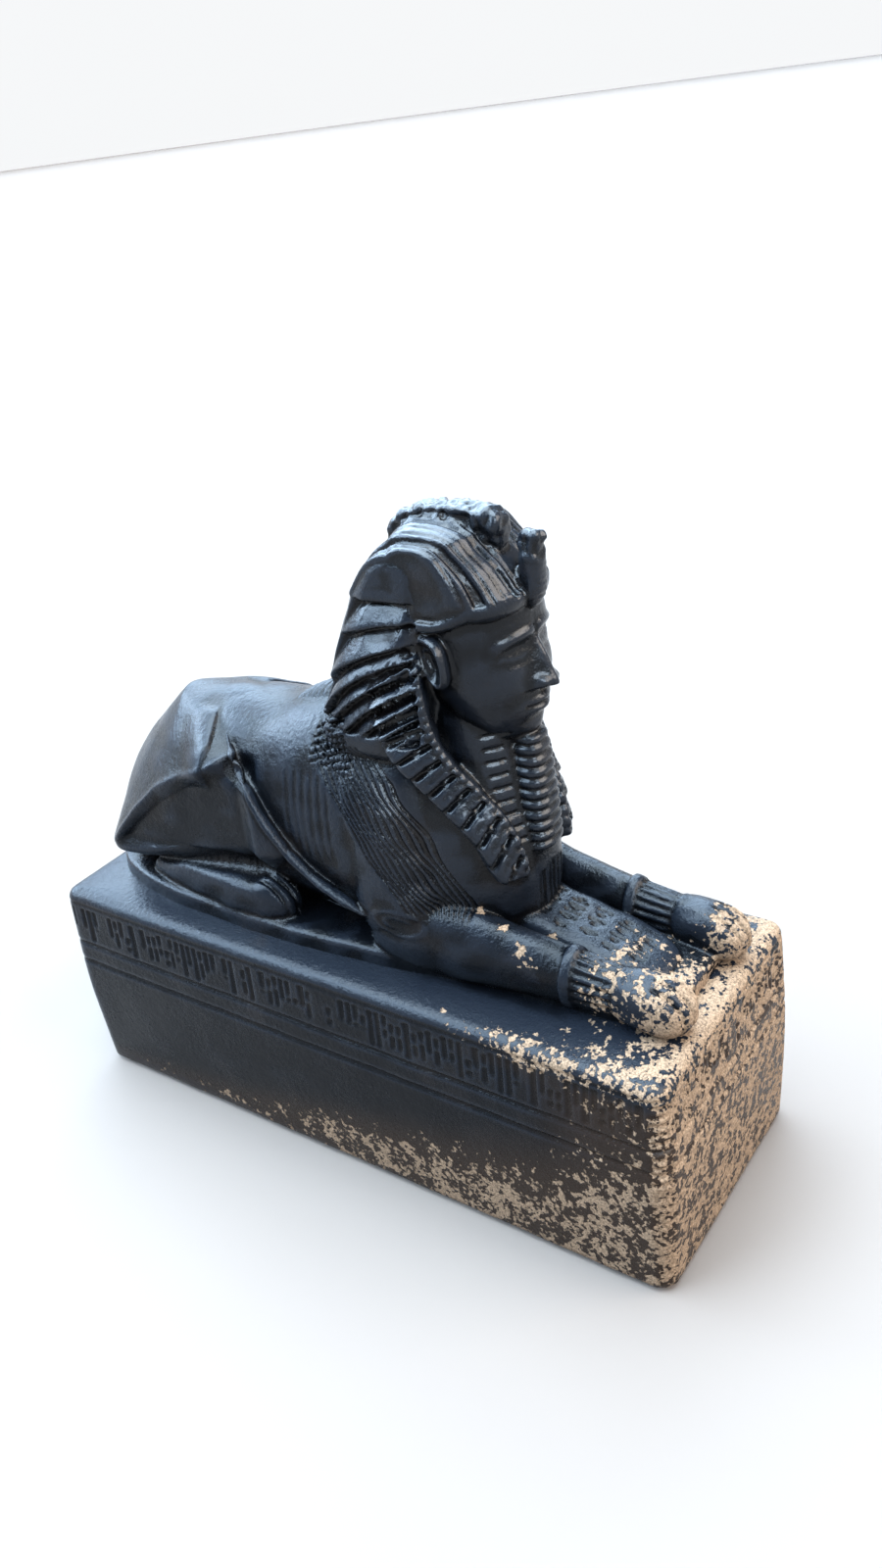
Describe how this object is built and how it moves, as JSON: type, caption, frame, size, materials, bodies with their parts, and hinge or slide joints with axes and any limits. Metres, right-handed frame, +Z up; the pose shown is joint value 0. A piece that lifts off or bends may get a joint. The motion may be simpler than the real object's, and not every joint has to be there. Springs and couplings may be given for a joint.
{
  "type": "sphinx statue on a plinth",
  "caption": "Souvenir statue of a lying sphinx with striped head cloth and beard, cast in one with its tall rectangular plinth.",
  "frame": {"origin": "middle of the plinth's underside", "axes": "+Z up, the sphinx faces -Y, +X is its own left"},
  "size_m": [0.0576, 0.152, 0.1387],
  "materials": {
    "black_cast_stone": "near-black blue-grey cast stone, half gloss, with tan flakes where the surface has chipped"
  },
  "bodies": {
    "root": {"sphinx_statue": "black_cast_stone"}
  },
  "joints": []
}
